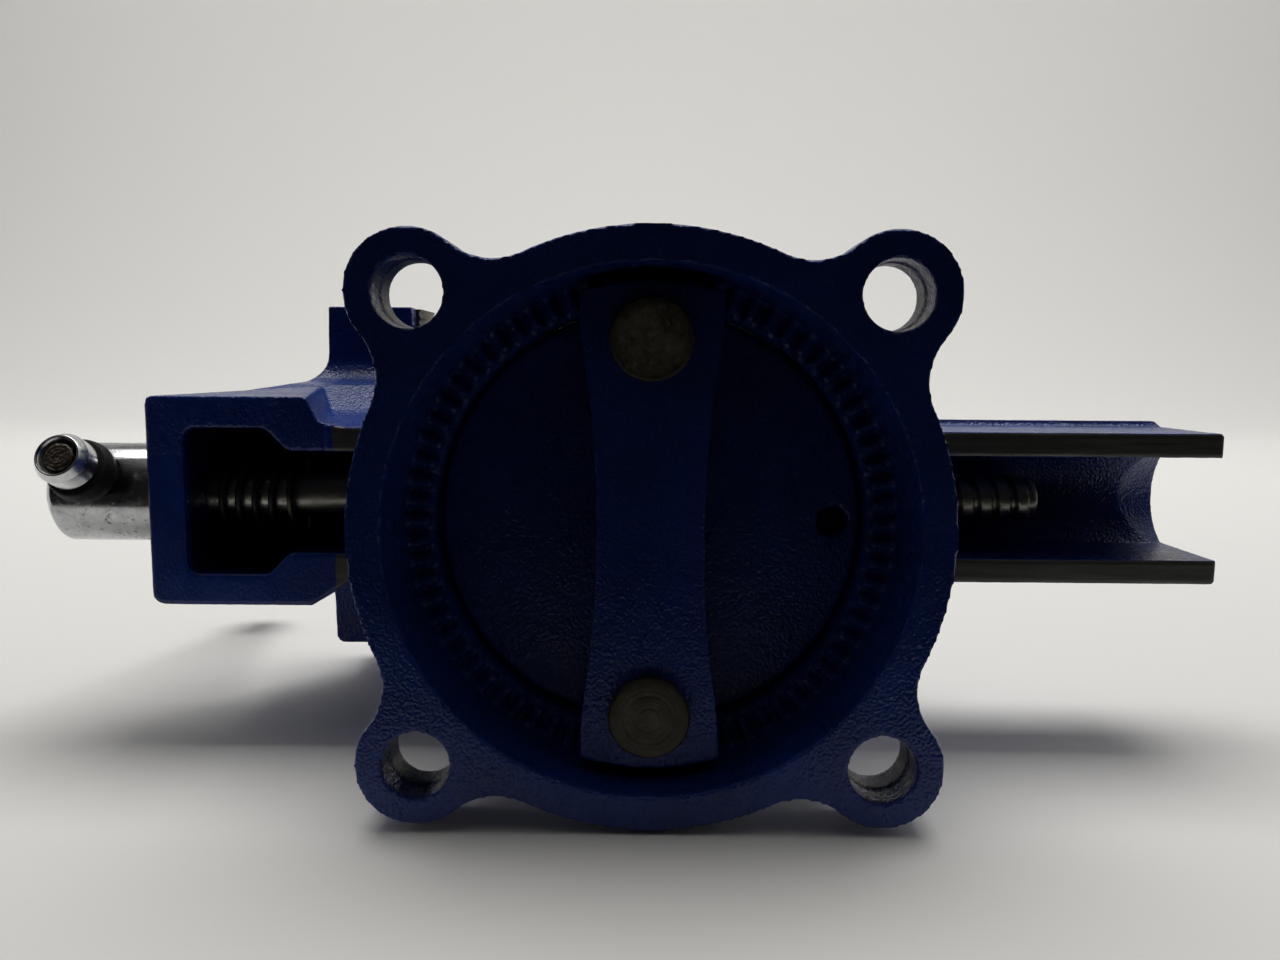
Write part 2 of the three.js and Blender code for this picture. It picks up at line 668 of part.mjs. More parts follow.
// ---------------------------------------------------------------- clamp bar and its two bolts
function clampBar() {
  const { bottomZ, topZ, waist, end, endRadius, boltX } = clamp;
  const spread = Math.asin(end / endRadius);
  const shape = new THREE.Shape();
  for (const side of [1, -1]) {
    const turn = side > 0 ? 0 : Math.PI;
    shape.absarc(0, 0, endRadius, turn - spread, turn + spread, false);
    shape.bezierCurveTo(side * 34, side * end, side * 32, side * waist, 0, side * waist);
    shape.bezierCurveTo(-side * 32, side * waist, -side * 34, side * end,
      -side * endRadius * Math.cos(spread), side * end);
  }
  const holes = [boltX, -boltX].map((x) => bar(lever.boltRadius + GAP, 0, 30).translate([x, 0, 0]));
  return cut(prismZ(shape, bottomZ, topZ, 8), ...holes);
}

const lockX = { left: -clamp.boltX, right: clamp.boltX };
const washerZ = disc.flangeTopZ + GAP;
const nutZ = washerZ + bolt.washerThickness + GAP;

function lockBolt(x) {
  const { headRadius, headHeight } = bolt;
  const radius = lever.boltRadius;
  const underHead = clamp.bottomZ - GAP;
  const headZ = underHead - headHeight;
  const top = nutZ + lever.nutHeight + 3;
  return turned([
    [0, headZ], [headRadius - 1, headZ], [headRadius - 0.2, headZ + 0.5], [headRadius, headZ + 1.3],
    [headRadius, underHead], [radius, underHead], [radius, top - 1], [radius - 1, top], [0, top],
  ], 32).translate([x, 0, 0]);
}

/** Turns a piece of the right-hand nut, drawn about Z with its lever along +X, to its place. */
function onBolt(body, side) {
  const turn = side === 'right' ? lever.turn : lever.turn + 180;
  return body.rotate([0, 0, turn]).translate([lockX[side], 0, 0]);
}

const leverZ = nutZ + lever.nutHeight / 2;

function lockNut(side) {
  const { nutRadius, nutHeight, boltRadius, rodRadius } = lever;
  const stock = turned([
    [0, nutZ], [nutRadius - 1, nutZ], [nutRadius, nutZ + 1], [nutRadius, nutZ + nutHeight - 1],
    [nutRadius - 1, nutZ + nutHeight], [0, nutZ + nutHeight],
  ], 6).rotate([0, 0, 30]);
  const socket = bar(rodRadius + GAP, boltRadius + 1, 20).rotate([0, 90, 0]).translate([0, 0, leverZ]);
  return onBolt(cut(stock, bar(boltRadius + GAP, 0, 99), socket), side);
}

function lockLever(side) {
  const { rodRadius, boltRadius, length, ballRadius } = lever;
  const rod = turned([
    [0, boltRadius + 1.4], [rodRadius, boltRadius + 1.4], [rodRadius, length - 12],
    [ballRadius - 0.6, length - 9], [ballRadius, length - 5], [ballRadius - 0.6, length - 1.6],
    [3, length], [0, length],
  ], 20);
  return onBolt(rod.rotate([0, 90, 0]).translate([0, 0, leverZ]), side);
}

function lockWasher(x) {
  const inner = lever.boltRadius + GAP;
  const { washerRadius: outer, washerThickness } = bolt;
  const top = washerZ + washerThickness;
  const section = [[inner, washerZ], [outer, washerZ], [outer, top], [inner, top], [inner, washerZ]];
  return turned(section).translate([x, 0, 0]);
}

/** The bolt that holds the screw's nut down, with a hexagon head let into the turntable. */
function nutBolt() {
  const { boltRadius, boltHead, boltTopZ } = nut;
  const [low, high] = [disc.bottomZ + 0.7, disc.bottomZ + 7];
  const section = [[0, low], [boltHead - 0.6, low], [boltHead, low + 0.7], [boltHead, high], [0, high]];
  const head = turned(section, 6);
  return join(head, bar(boltRadius, high - 1, boltTopZ, 18));
}

// ---------------------------------------------------------------- assembly
const fixed = new THREE.Group();
const turning = new THREE.Group();
const sliding = new THREE.Group();
vise.add(fixed, turning, sliding);

piece(fixed, 'swivel_base', paint, swivelBase());

piece(turning, 'vise_body', paint, viseBody());
piece(turning, 'fixed_jaw_insert', steel, jawInsert(1));
piece(turning, 'spindle_nut', bareIron, spindleNut());
piece(turning, 'spindle_nut_bolt', blackSteel, nutBolt());
piece(turning, 'clamp_bar', paint, clampBar());
for (const side of ['left', 'right']) {
  piece(turning, `lock_bolt_${side}`, blackSteel, lockBolt(lockX[side]));
  piece(turning, `lock_washer_${side}`, plated, lockWasher(lockX[side]));
  piece(turning, `lock_nut_${side}`, plated, lockNut(side));
  piece(turning, `lock_lever_${side}`, plated, lockLever(side));
}

piece(sliding, 'moving_jaw', paint, movingJaw());
piece(sliding, 'moving_jaw_insert', steel, jawInsert(-1));
piece(sliding, 'spindle', plated, spindle());
piece(sliding, 'spindle_spring', blackSteel, coilSpring());
piece(sliding, 'spindle_washer', steel, collarWasher());
piece(sliding, 'spindle_pin', blackSteel, pinBar(pin.radius, pin.half));
piece(sliding, 'handle_bar', plated, handleBar());
for (const [end, side] of [['lower', -1], ['upper', 1]]) {
  piece(sliding, `handle_knob_${end}`, plated, handleKnob(side));
  piece(sliding, `handle_ring_${end}`, rubber, handleRing(side));
}

for (const [end, x] of [['left', insertScrewX[0]], ['right', insertScrewX[1]]]) {
  piece(turning, `fixed_insert_screw_${end}`, blackSteel, insertScrew(1, x));
  piece(sliding, `moving_insert_screw_${end}`, blackSteel, insertScrew(-1, x));
}

vise.position.y = -(screw.frontY + beam.rearY) / 2;

export default vise;
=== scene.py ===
import json
import math

import bmesh
import bpy
import numpy as np
from mathutils import Matrix, Vector

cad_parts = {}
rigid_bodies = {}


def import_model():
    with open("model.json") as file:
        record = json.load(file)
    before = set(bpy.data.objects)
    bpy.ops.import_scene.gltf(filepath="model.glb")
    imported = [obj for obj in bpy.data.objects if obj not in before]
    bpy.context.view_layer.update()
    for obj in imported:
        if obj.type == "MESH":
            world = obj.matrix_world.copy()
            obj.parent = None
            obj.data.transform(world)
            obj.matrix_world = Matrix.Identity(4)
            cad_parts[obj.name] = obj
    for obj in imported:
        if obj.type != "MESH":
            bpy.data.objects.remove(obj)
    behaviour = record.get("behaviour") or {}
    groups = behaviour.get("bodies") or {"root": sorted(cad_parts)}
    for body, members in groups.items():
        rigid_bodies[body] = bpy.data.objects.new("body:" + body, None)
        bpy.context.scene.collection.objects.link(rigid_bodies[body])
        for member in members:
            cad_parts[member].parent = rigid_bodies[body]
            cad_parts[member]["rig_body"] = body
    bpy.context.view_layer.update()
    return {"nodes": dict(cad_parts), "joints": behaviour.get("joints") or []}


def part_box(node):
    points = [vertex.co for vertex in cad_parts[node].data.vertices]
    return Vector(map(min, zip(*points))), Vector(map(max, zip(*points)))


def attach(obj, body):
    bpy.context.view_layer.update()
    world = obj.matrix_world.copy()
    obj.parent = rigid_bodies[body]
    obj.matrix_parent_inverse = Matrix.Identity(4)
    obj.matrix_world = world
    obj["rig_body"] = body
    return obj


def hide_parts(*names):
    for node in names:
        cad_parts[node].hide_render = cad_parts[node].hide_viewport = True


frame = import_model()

# A cast-iron bench vise on a swivelling base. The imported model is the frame. The castings are remeshed with
# soft cast edges and grain, and the turned, threaded and ground parts are made again at full detail.
# Units are metres. Noise scales are lumps per metre.
MM = 0.001
UP = Vector((0, 0, 1))
ACROSS = Vector((1, 0, 0))
FORWARD = Vector((0, -1, 0))  # the way that the jaws open
MOST_TRIANGLES = 190_000  # in one piece


# ---------------------------------------------------------------- places, from the frame
def centre(node):
    low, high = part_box(node)
    return (low + high) / 2


def joint(name):
    return next(j for j in frame["joints"] if j["name"] == name)


BASE_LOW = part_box("swivel_base")[0]
AXIS = Vector((0, centre("swivel_base").y, 0))  # the swivel axis
BEAM_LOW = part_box("moving_jaw")[0].z  # underside of the slide beam
JAW_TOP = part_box("moving_jaw")[1].z
SCREW_Z = centre("spindle").z
LUG = 50 * MM  # half the pitch of the bench bolts
LUG_BORE = 7 * MM
LUG_WALL = 0.8 * MM  # how near to a bore still counts as its wall
SHANK = 6.5 * MM
HANDLE_DIRECTION = -Vector(joint("handle_slide")["axis"]).normalized()  # towards the upper knob


# ---------------------------------------------------------------- materials
def shader(name, **constants):
    """A material, its node tree and its Principled shader, with the sockets that are the same all over."""
    material = bpy.data.materials.new(name)
    material.use_nodes = True
    bsdf = material.node_tree.nodes["Principled BSDF"]
    for socket, value in constants.items():
        bsdf.inputs[socket.replace("_", " ")].default_value = value
    return material, material.node_tree, bsdf


def add(tree, kind, inputs=None, **settings):
    node = tree.nodes.new("ShaderNode" + kind)
    for name, value in settings.items():
        setattr(node, name, value)
    for socket, value in (inputs or {}).items():
        if isinstance(value, bpy.types.NodeSocket):
            tree.links.new(value, node.inputs[socket])
        else:
            node.inputs[socket].default_value = value
    return node


def place(tree, stretch=(1, 1, 1)):
    """Coordinates on the piece at rest, in metres, that move with it."""
    mapping = add(tree, "Mapping", {"Scale": stretch})
    tree.links.new(add(tree, "TexCoord").outputs["Object"], mapping.inputs["Vector"])
    return mapping.outputs["Vector"]


def noise(tree, scale, detail=3.0, rough=0.55, stretch=(1, 1, 1)):
    inputs = {"Vector": place(tree, stretch), "Scale": scale, "Detail": detail, "Roughness": rough}
    return add(tree, "TexNoise", inputs).outputs["Fac"]


def spread(tree, value, low, high, out_low=0.0, out_high=1.0):
    """Maps low..high to out_low..out_high and holds the ends."""
    inputs = {0: value, 1: low, 2: high, 3: out_low, 4: out_high}
    return add(tree, "MapRange", inputs).outputs[0]


def times(tree, a, b):
    return add(tree, "Math", {0: a, 1: b}, operation="MULTIPLY").outputs[0]


def plus(tree, a, b):
    return add(tree, "Math", {0: a, 1: b}, operation="ADD").outputs[0]


def blend_colours(tree, factor, a, b):
    inputs = {0: factor, 6: a if isinstance(a, bpy.types.NodeSocket) else (*a, 1),
              7: b if isinstance(b, bpy.types.NodeSocket) else (*b, 1)}
    return add(tree, "Mix", inputs, data_type="RGBA").outputs[2]


def attribute(tree, name):
    return add(tree, "Attribute", attribute_name=name).outputs["Fac"]


def bump(tree, height, distance, strength=1.0, below=None):
    inputs = {"Height": height, "Distance": distance, "Strength": strength}
    if below is not None:
        inputs["Normal"] = below
    return add(tree, "Bump", inputs).outputs["Normal"]


def connect(tree, bsdf, **sockets):
    for name, value in sockets.items():
        tree.links.new(value, bsdf.inputs[name.replace("_", " ")])


DEEP_BLUE, LIGHT_BLUE = (0.0040, 0.0225, 0.142), (0.0062, 0.0330, 0.208)
DARK_IRON, LIGHT_IRON = (0.055, 0.055, 0.050), (0.12, 0.12, 0.112)
DUST = (0.10, 0.11, 0.13)
# painted shade: the dark colour mixed into the paint in the slide's channel and front cavity
RECESS_SHADE = (0.004, 0.0055, 0.012)


def enamel():
    """Thick blue enamel over a sand casting, thin on the edges and missing where the iron is machined, with
    painted shade darkening it in the slide's channel and front cavity.
    The attributes "bare", "edge", "recess_shade" and "milled" of a casting say where."""
    material, tree, bsdf = shader("blue_enamel", Specular_IOR_Level=0.36)

    tone = spread(tree, noise(tree, 45, 4), 0.35, 0.65)
    blue = blend_colours(tree, tone, DEEP_BLUE, LIGHT_BLUE)
    dust = spread(tree, noise(tree, 260, 5, 0.7), 0.62, 0.82)
    blue = blend_colours(tree, times(tree, dust, 0.10), blue, DUST)
    # painted shade, mottled, where the recess_shade attribute marks the slide's channel and front cavity
    painted_shade = times(tree, attribute(tree, "recess_shade"), spread(tree, noise(tree, 90, 4), 0.3, 0.7, 0.55, 0.9))
    blue = blend_colours(tree, painted_shade, blue, RECESS_SHADE)
    iron_tone = spread(tree, noise(tree, 500, 4, 0.6, (1, 0.06, 1)), 0.3, 0.7)
    iron = blend_colours(tree, iron_tone, DARK_IRON, LIGHT_IRON)

    chips = spread(tree, noise(tree, 900, 4, 0.7), 0.50, 0.58)
    edge = times(tree, spread(tree, attribute(tree, "edge"), 0.35, 0.9), chips)
    edge = times(tree, edge, spread(tree, noise(tree, 70, 3), 0.50, 0.62))
    speckle = spread(tree, plus(tree, attribute(tree, "bare"), noise(tree, 1500, 3, 0.6)), 0.95, 1.05)
    bare = add(tree, "Math", {0: speckle, 1: edge}, operation="MAXIMUM").outputs[0]

    grain = noise(tree, 1350, 1, 0.4)
    peel = noise(tree, 600, 1, 0.4)
    painted = spread(tree, bare, 0.2, 0.8, 1, 0.06)
    smoother = spread(tree, attribute(tree, "milled"), 0, 1, 1, 0.3)
    relief = times(tree, plus(tree, grain, times(tree, peel, 0.4)), painted)
    cast = bump(tree, times(tree, relief, smoother), 0.36 * MM, 0.85)
    lines = noise(tree, 1700, 3, 0.6, (1, 0.03, 1))
    scratched = bump(tree, times(tree, lines, bare), 0.03 * MM, 0.5, cast)

    paint_rough = spread(tree, noise(tree, 120, 4), 0.3, 0.7, 0.22, 0.34)
    iron_rough = spread(tree, lines, 0.3, 0.7, 0.38, 0.62)
    rough = add(tree, "Mix", {0: bare, 2: paint_rough, 3: iron_rough}).outputs[0]
    connect(tree, bsdf, Base_Color=blend_colours(tree, bare, blue, iron), Metallic=times(tree, bare, 0.85),
            Roughness=rough, Normal=scratched)
    return material


def metal(name, dark, light, roughness, scale, stretch=(1, 1, 1), relief=0.02 * MM, stain=None, tint_and_shade_colour=None,
          **constants):
    """A metal whose colour and gloss vary, with fine tool marks along the axis whose stretch is the smallest.
    stain is a colour and the noise level over which it shows. tint_and_shade_colour is the colour where the
    piece's "tint_and_shade"
    attribute marks it: oil on the screw, browner riveted ends on the handle, and on the bolts a darkening
    towards the heads' rims plus painted shade over the whole lower bolt."""
    material, tree, bsdf = shader(name, **{"Metallic": 1.0, **constants})
    colour = blend_colours(tree, spread(tree, noise(tree, scale, 5, 0.65), 0.32, 0.68), dark, light)
    fine = noise(tree, scale * 7, 4, 0.65, stretch)
    rough = spread(tree, plus(tree, fine, noise(tree, scale / 3, 3)), 0.7, 1.3, roughness[0], roughness[1])
    if stain:
        stain_colour, level = stain
        spots = spread(tree, noise(tree, scale * 2.2, 6, 0.75), level, level + 0.1)
        colour = blend_colours(tree, times(tree, spots, 0.8), colour, stain_colour)
        rough = plus(tree, rough, times(tree, spots, 0.25))
    if tint_and_shade_colour:
        # the tint_and_shade attribute brings in oil on the screw, browner metal on the riveted ends and
        # painted shade on the lower bolt
        colour = blend_colours(tree, attribute(tree, "tint_and_shade"), colour, tint_and_shade_colour)
        rough = plus(tree, rough, times(tree, attribute(tree, "tint_and_shade"), 0.14))
    connect(tree, bsdf, Base_Color=colour, Roughness=rough, Normal=bump(tree, fine, relief, 0.6))
    return material


def rubber():
    """Matt black rubber with fine pores."""
    material, tree, bsdf = shader("black_rubber", Specular_IOR_Level=0.2)
    colour = blend_colours(tree, noise(tree, 300, 4), (0.003, 0.003, 0.0035), (0.008, 0.008, 0.0085))
    rough = spread(tree, noise(tree, 900, 3), 0.3, 0.7, 0.5, 0.72)
    pores = bump(tree, noise(tree, 2400, 3), 0.03 * MM, 0.5)
    connect(tree, bsdf, Base_Color=colour, Roughness=rough, Normal=pores)
    return material


ZINC_LOOK = {"dark": (0.52, 0.53, 0.54), "light": (0.72, 0.73, 0.74), "roughness": (0.12, 0.30), "scale": 160,
             "stretch": (1, 0.1, 1), "stain": ((0.16, 0.15, 0.13), 0.60)}

BLUE = enamel()
ZINC = metal("bright_zinc", **ZINC_LOOK)
INSERT = metal("ground_steel", (0.085, 0.080, 0.062), (0.170, 0.160, 0.130), (0.40, 0.58), 240, (0.05, 1, 1),
               stain=((0.06, 0.048, 0.034), 0.60), Metallic=0.5)
BLACK = metal("black_oxide", (0.028, 0.026, 0.020), (0.085, 0.076, 0.056), (0.34, 0.58), 330,
              relief=0.05 * MM, stain=((0.14, 0.12, 0.085), 0.57))
# painted shade: its tint_and_shade colour darkens the whole lower bolt, and both heads towards their rims
BOLT = metal("worn_oxide", (0.080, 0.072, 0.050), (0.30, 0.265, 0.185), (0.20, 0.42), 260, relief=0.17 * MM,
             stain=((0.43, 0.38, 0.28), 0.55), tint_and_shade_colour=(0.025, 0.023, 0.017), Metallic=0.5)
HEAD = metal("rubbed_zinc", (0.36, 0.37, 0.38), (0.56, 0.57, 0.58), (0.12, 0.28), 240, (1, 0.15, 1),
             stain=((0.07, 0.065, 0.055), 0.56), tint_and_shade_colour=(0.27, 0.26, 0.23))
RIVETED = metal("riveted_zinc", **ZINC_LOOK, tint_and_shade_colour=(0.17, 0.145, 0.115))
IRON = metal("bare_cast_iron", (0.05, 0.05, 0.047), (0.11, 0.11, 0.10), (0.42, 0.62), 400, (1, 0.1, 1),
             relief=0.06 * MM)
SPRING = metal("spring_wire", (0.006, 0.006, 0.005), (0.018, 0.017, 0.014), (0.42, 0.62), 330,
               relief=0.03 * MM, Metallic=0.3)
RUBBER = rubber()


# ---------------------------------------------------------------- making pieces
def as_piece(name, mesh, material, nodes):
    """Shows a mesh in place of CAD nodes, riding on their body."""
    mesh.materials.clear()
    mesh.materials.append(material)
    piece = bpy.data.objects.new(name, mesh)
    bpy.context.scene.collection.objects.link(piece)
    body = frame["nodes"][nodes[0]]["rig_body"]
    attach(piece, body)
    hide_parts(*nodes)
    return piece


def smoothed(mesh, angle=38):
    """The same mesh shaded smooth, but for edges that turn by more than the angle in degrees."""
    mesh.polygons.foreach_set("use_smooth", np.ones(len(mesh.polygons), bool))
    mesh.set_sharp_from_angle(angle=math.radians(angle))
    mesh.update()
    return mesh


def with_modifiers(mesh, *modifiers):
    """The mesh that a stack of (type, settings) leaves."""
    worker = bpy.data.objects.new("worker", mesh)
    bpy.context.scene.collection.objects.link(worker)
    for kind, settings in modifiers:
        modifier = worker.modifiers.new(kind.lower(), kind)
        for name, value in settings.items():
            setattr(modifier, name, value)
    bpy.context.view_layer.update()
    made = bpy.data.meshes.new_from_object(worker.evaluated_get(bpy.context.evaluated_depsgraph_get()))
    bpy.data.objects.remove(worker)
    return made


def faced_outwards(mesh):
    """The same mesh with its faces turned outwards."""
    work = bmesh.new()
    work.from_mesh(mesh)
    bmesh.ops.recalc_face_normals(work, faces=work.faces)
    work.to_mesh(mesh)
    work.free()
    return mesh


def merged_copy(node):
    """A CAD node's mesh with its corners joined."""
    work = bmesh.new()
    work.from_mesh(frame["nodes"][node].data)
    bmesh.ops.remove_doubles(work, verts=work.verts, dist=1e-6)
    mesh = bpy.data.meshes.new(node)
    work.to_mesh(mesh)
    work.free()
    return mesh


def vertex_arrays(mesh):
    points = np.empty(len(mesh.vertices) * 3, np.float32)
    mesh.vertices.foreach_get("co", points)
    normals = np.empty_like(points)
    mesh.vertex_normals.foreach_get("vector", normals)
    edges = np.empty(len(mesh.edges) * 2, np.int32)
    mesh.edges.foreach_get("vertices", edges)
    return points.reshape(-1, 3), normals.reshape(-1, 3), edges.reshape(-1, 2)


def neighbour_mean(values, edges):
    """Each vertex's value, replaced by the mean of its neighbours'."""
    total = np.zeros_like(values)
    count = np.zeros(len(values), np.float32)
    for a, b in ((0, 1), (1, 0)):
        np.add.at(total, edges[:, a], values[edges[:, b]])
        np.add.at(count, edges[:, a], 1)
    return total / np.maximum(count, 1).reshape([-1] + [1] * (values.ndim - 1))


def set_attribute(mesh, name, values):
    layer = mesh.attributes.get(name) or mesh.attributes.new(name, "FLOAT", "POINT")
    layer.data.foreach_set("value", values.astype(np.float32))


GRAIN = 0.06 * MM  # depth of the sand's grain
EDGE_HUMP = 0.10  # how far a worn edge stands out from its neighbours, in voxels


def casting(node, voxel, bare_at, machined_at, rounds=3, wear=0.2):
    """A CAD node as a sand casting: fine mesh, soft edges, and grain wherever it isn't machined.
    bare_at and machined_at take points and normals, and say from 0 to 1 how bare or how flat they are.
    wear says how much the edges show, as a number or from the points."""
    settings = {"mode": "VOXEL", "voxel_size": voxel}
    soft = {"factor": 0.5, "iterations": rounds}
    mesh = with_modifiers(merged_copy(node), ("REMESH", settings), ("SMOOTH", soft))
    triangles = 2 * len(mesh.polygons)
    if triangles > MOST_TRIANGLES:
        mesh = with_modifiers(mesh, ("DECIMATE", {"ratio": MOST_TRIANGLES / triangles}))
    points, normals, edges = vertex_arrays(mesh)
    hump = ((points - neighbour_mean(points, edges)) * normals).sum(1) / voxel
    for _ in range(2):
        hump = neighbour_mean(hump, edges)
    flat = machined_at(points, normals)
    cast = np.clip(1 - flat, 0, 1)
    worn = wear(points) if callable(wear) else wear
    set_attribute(mesh, "edge", np.clip(hump / EDGE_HUMP, 0, 1) * worn)
    set_attribute(mesh, "bare", np.clip(bare_at(points, normals), 0, 1))
    height = lumps(points, 1.3 * MM) * 0.6 + lumps(points + 0.37, 0.75 * MM) * 0.4
    waves = lumps(points + 0.71, 8 * MM)
    offset = cast * (height + 0.4 * waves) * GRAIN
    moved = points + normals * (offset - 0.5 * GRAIN * cast)[:, None]
    mesh.vertices.foreach_set("co", moved.astype(np.float32).ravel())
    return smoothed(mesh, 60)


HASH = (73856093, 19349663, 83492791)  # primes that scatter a cell's three numbers over the table
TABLE_SIZE = 4096


def lumps(points, size):
    """Smooth random lumps of about one size, from -1 to 1, the same in every run."""
    rng = np.random.default_rng(7)
    table = rng.uniform(-1, 1, TABLE_SIZE).astype(np.float32)
    scaled = points / size
    cell = np.floor(scaled).astype(np.int64)
    part = scaled - cell
    part = part * part * (3 - 2 * part)
    total = np.zeros(len(points), np.float32)
    for corner in range(8):
        step = np.array([corner & 1, corner >> 1 & 1, corner >> 2 & 1])
        at = cell + step
        index = (at[:, 0] * HASH[0] ^ at[:, 1] * HASH[1] ^ at[:, 2] * HASH[2]) % TABLE_SIZE
        weight = np.prod(np.where(step, part, 1 - part), axis=1)
        total += weight.astype(np.float32) * table[index]
    return total


def filleted(corners, steps=4):
    """A half section from corners (radius, along, fillet), in metres, with each fillet as an arc."""
    points = []
    for i, corner in enumerate(corners):
        here = Vector(corner[:2])
        fillet = corner[2] if len(corner) > 2 else 0
        if not fillet or i in (0, len(corners) - 1):
            points.append(tuple(here))
            continue
        back = (Vector(corners[i - 1][:2]) - here).normalized()
        ahead = (Vector(corners[i + 1][:2]) - here).normalized()
        half_angle = math.acos(max(-1, min(1, back.dot(ahead)))) / 2
        middle = here + (back + ahead).normalized() * (fillet / math.sin(half_angle))
        start = here + back * (fillet / math.tan(half_angle)) - middle
        end = here + ahead * (fillet / math.tan(half_angle)) - middle
        turn = start.angle_signed(end)
        for k in range(steps + 1):
            arm = start.copy()
            arm.rotate(Matrix.Rotation(-turn * k / steps, 2))
            points.append(tuple(middle + arm))
    return points


def skin(rings, origin, direction, segments=96, closed=False, turn=0.0):
    """A mesh of rings (radius, along), each a number or an array over the angles, about a line from origin.
    An open skin starts and ends on the line. A closed one joins its last ring to its first."""
    angles = np.arange(segments) * 2 * math.pi / segments + turn
    to_place = direction.to_track_quat("Z", "Y").to_matrix()
    inner = rings if closed else rings[1:-1]
    layers = []
    for radius, along in inner:
        radius = np.broadcast_to(radius, segments)
        along = np.broadcast_to(along, segments)
        layers.append(np.stack([radius * np.cos(angles), radius * np.sin(angles), along], 1))
    points = np.concatenate(layers)
    faces = []
    count = len(inner)
    for r in range(count if closed else count - 1):
        a, b = r * segments, (r + 1) % count * segments
        for s in range(segments):
            n = (s + 1) % segments
            faces.append((a + s, a + n, b + n, b + s))
    if not closed:
        first, last = len(points), len(points) + 1
        points = np.concatenate([points, [[0, 0, rings[0][1]], [0, 0, rings[-1][1]]]])
        end = (count - 1) * segments
        for s in range(segments):
            n = (s + 1) % segments
            faces.append((first, n, s))
            faces.append((last, end + s, end + n))
    placed = points @ np.array(to_place).T + np.array(origin)
    mesh = bpy.data.meshes.new("skin")
    mesh.from_pydata(placed.tolist(), [], faces)
    return faced_outwards(mesh)


def bored(mesh, *tools):
    """The mesh with other meshes cut out of it."""
    for tool in tools:
        cutter = bpy.data.objects.new("cutter", tool)
        bpy.context.scene.collection.objects.link(cutter)
        settings = {"object": cutter, "operation": "DIFFERENCE", "solver": "EXACT"}
        mesh = with_modifiers(mesh, ("BOOLEAN", settings))
        bpy.data.objects.remove(cutter)
    return mesh


def hexagon(flats, segments):
    """Radii of a hexagon of that half width across its flats."""
    angles = (np.arange(segments) * 2 * math.pi / segments) % (math.pi / 3) - math.pi / 6
    return flats / np.cos(angles)


def thread_rings(radius, depth, pitch, start, end, segments, rows=16, crest=0.32, root=0.32):
    """Rings of a real helical thread, which fades in and out at its ends.
    Crest and root are the flat parts of its pitch, and rows is the number of rings to a pitch."""
    angles = np.arange(segments) / segments
    slope = (1 - crest - root) / 2
    fading = 0.4 * pitch
    count = max(2, round((end - start) / pitch * rows))
    rings = []
    for i in range(count + 1):
        along = start + (end - start) * i / count
        phase = (along / pitch - angles) % 1
        low = np.clip((np.abs(phase - 0.5) - crest / 2) / slope, 0, 1)
        fade = max(0.0, min(1.0, (along - start) / fading, (end - along) / fading))
        rings.append((radius - depth * (low * fade + (1 - fade)), along))
    return rings


# ---------------------------------------------------------------- castings
def near_lug_hole(points):
    """1 on the walls of the four bench-bolt holes."""
    x = np.abs(points[:, 0]) - LUG
    y = np.abs(points[:, 1] - AXIS.y) - LUG
    return (np.abs(np.hypot(x, y) - LUG_BORE) < LUG_WALL).astype(float)


def base_bare(points, normals):
    """The lug holes' walls, a little shinier above their wide mouths."""
    shine = np.where(points[:, 2] > 7.2 * MM, 0.56, 0.45)
    return near_lug_hole(points) * (np.abs(normals[:, 2]) < 0.6) * shine


def base_wear(points):
    """The rims at the bench are rubbed, and the teeth inside aren't."""
    return np.clip((12 * MM - points[:, 2]) / (4 * MM), 0, 1) * 0.8


def base_machined(points, normals):
    under = (points[:, 2] < 0.5 * MM) & (normals[:, 2] < -0.6)
    return np.maximum(under * 0.75, near_lug_hole(points) * 0.3)


def body_bare(points, normals):
    """1 on the anvil's top."""
    anvil = (points[:, 2] > 104.5 * MM) & (points[:, 2] < 107 * MM) & (normals[:, 2] > 0.8)
    return anvil.astype(float)


def body_machined(points, normals):
    return np.maximum(body_bare(points, normals), (points[:, 2] > JAW_TOP - 0.6 * MM) * 0.7)


def slide_under(points, normals):
    """1 on the milled underside of the block and the rails."""
    return ((points[:, 2] < BEAM_LOW + 0.5 * MM) & (normals[:, 2] < -0.6)).astype(float)


def slide_bare(points, normals):
    """The underside of the rails, bare from the front block's end to the rear."""
    behind_block = np.clip((points[:, 1] - (AXIS.y - 81.6 * MM)) / (1.2 * MM), 0, 1)
    return slide_under(points, normals) * behind_block


def slide_machined(points, normals):
    return np.maximum(slide_bare(points, normals), slide_under(points, normals) * 0.8)


def slide_recess_shade(points):
    """Painted shade: inside the front cavity and, less, in the channel behind, the paint is darkened."""
    back = points[:, 1] - AXIS.y
    inside = (points[:, 2] > BEAM_LOW + 2.5 * MM) & (points[:, 2] < BEAM_LOW + 34 * MM)
    channel = (np.abs(points[:, 0]) < 13.6 * MM) & (back < 133 * MM)
    cavity = (np.abs(points[:, 0]) < 19.4 * MM) & (back < -93 * MM) & (back > -120 * MM)
    return (inside & (channel | cavity)) * np.where(back < 0, 1.0, 0.4)


def nowhere(points, normals):
    return np.zeros(len(points))


def slide_mesh():
    mesh = casting("moving_jaw", 0.55 * MM, slide_bare, slide_machined, rounds=1)
    points, normals, _ = vertex_arrays(mesh)
    set_attribute(mesh, "recess_shade", slide_recess_shade(points))
    set_attribute(mesh, "milled", slide_under(points, normals))
    return mesh


